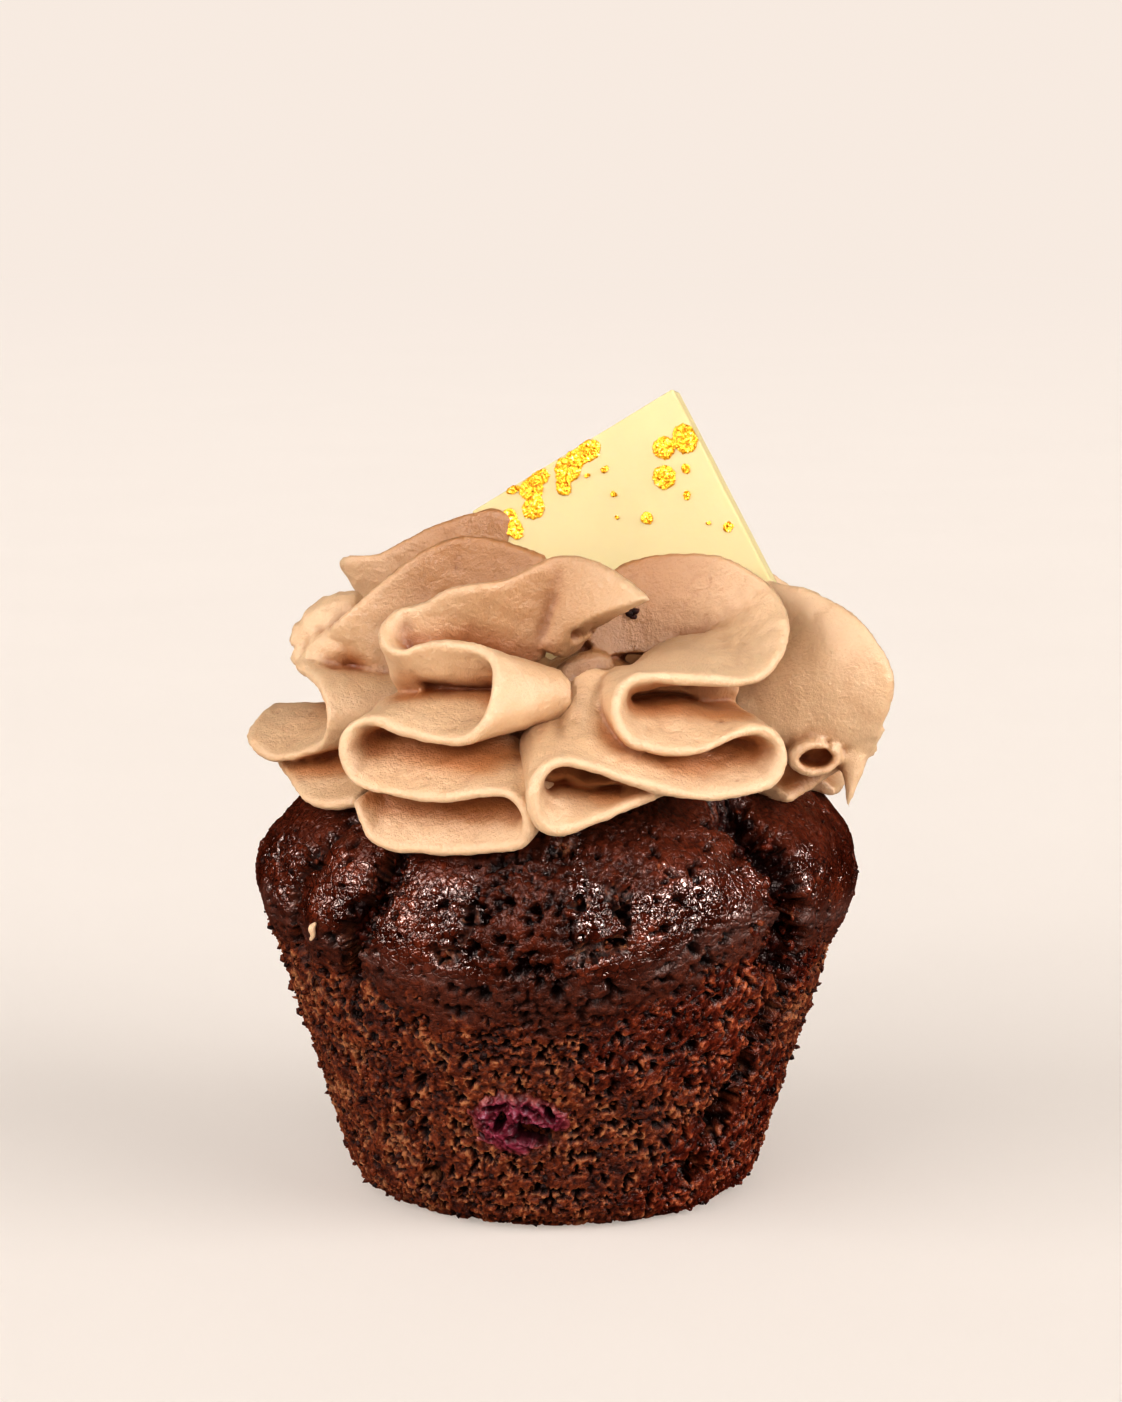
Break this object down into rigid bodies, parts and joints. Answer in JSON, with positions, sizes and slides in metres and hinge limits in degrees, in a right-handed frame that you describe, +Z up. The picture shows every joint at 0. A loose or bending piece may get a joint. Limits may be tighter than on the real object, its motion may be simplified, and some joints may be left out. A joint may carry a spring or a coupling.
{
  "type": "chocolate muffin",
  "caption": "Chocolate muffin: tapered porous sponge under a cracked glossy crust, ruffled chocolate buttercream piped on top, a fruit piece in its side and a square of white chocolate.",
  "frame": {"origin": "centre of the sponge's flat underside, where the muffin stands", "axes": "+Z up, -Y towards the front, where the fruit piece shows in the side, +X to the right seen from the front"},
  "size_m": [0.078, 0.0775, 0.0999],
  "materials": {
    "sponge": "dark chocolate sponge, glossy baked crust above and open crumb below",
    "fruit": "moist cooked berry flesh",
    "frosting": "smooth satin chocolate buttercream",
    "white_chocolate": "satin white chocolate with flecks of gold leaf"
  },
  "bodies": {
    "root": {"sponge": "sponge", "fruit_piece": "fruit", "ruffle_front_left": "frosting", "ruffle_front_right": "frosting", "ruffle_left": "frosting", "ruffle_right": "frosting", "ruffle_back_left": "frosting", "ruffle_back_right": "frosting", "white_chocolate_square": "white_chocolate"}
  },
  "joints": []
}
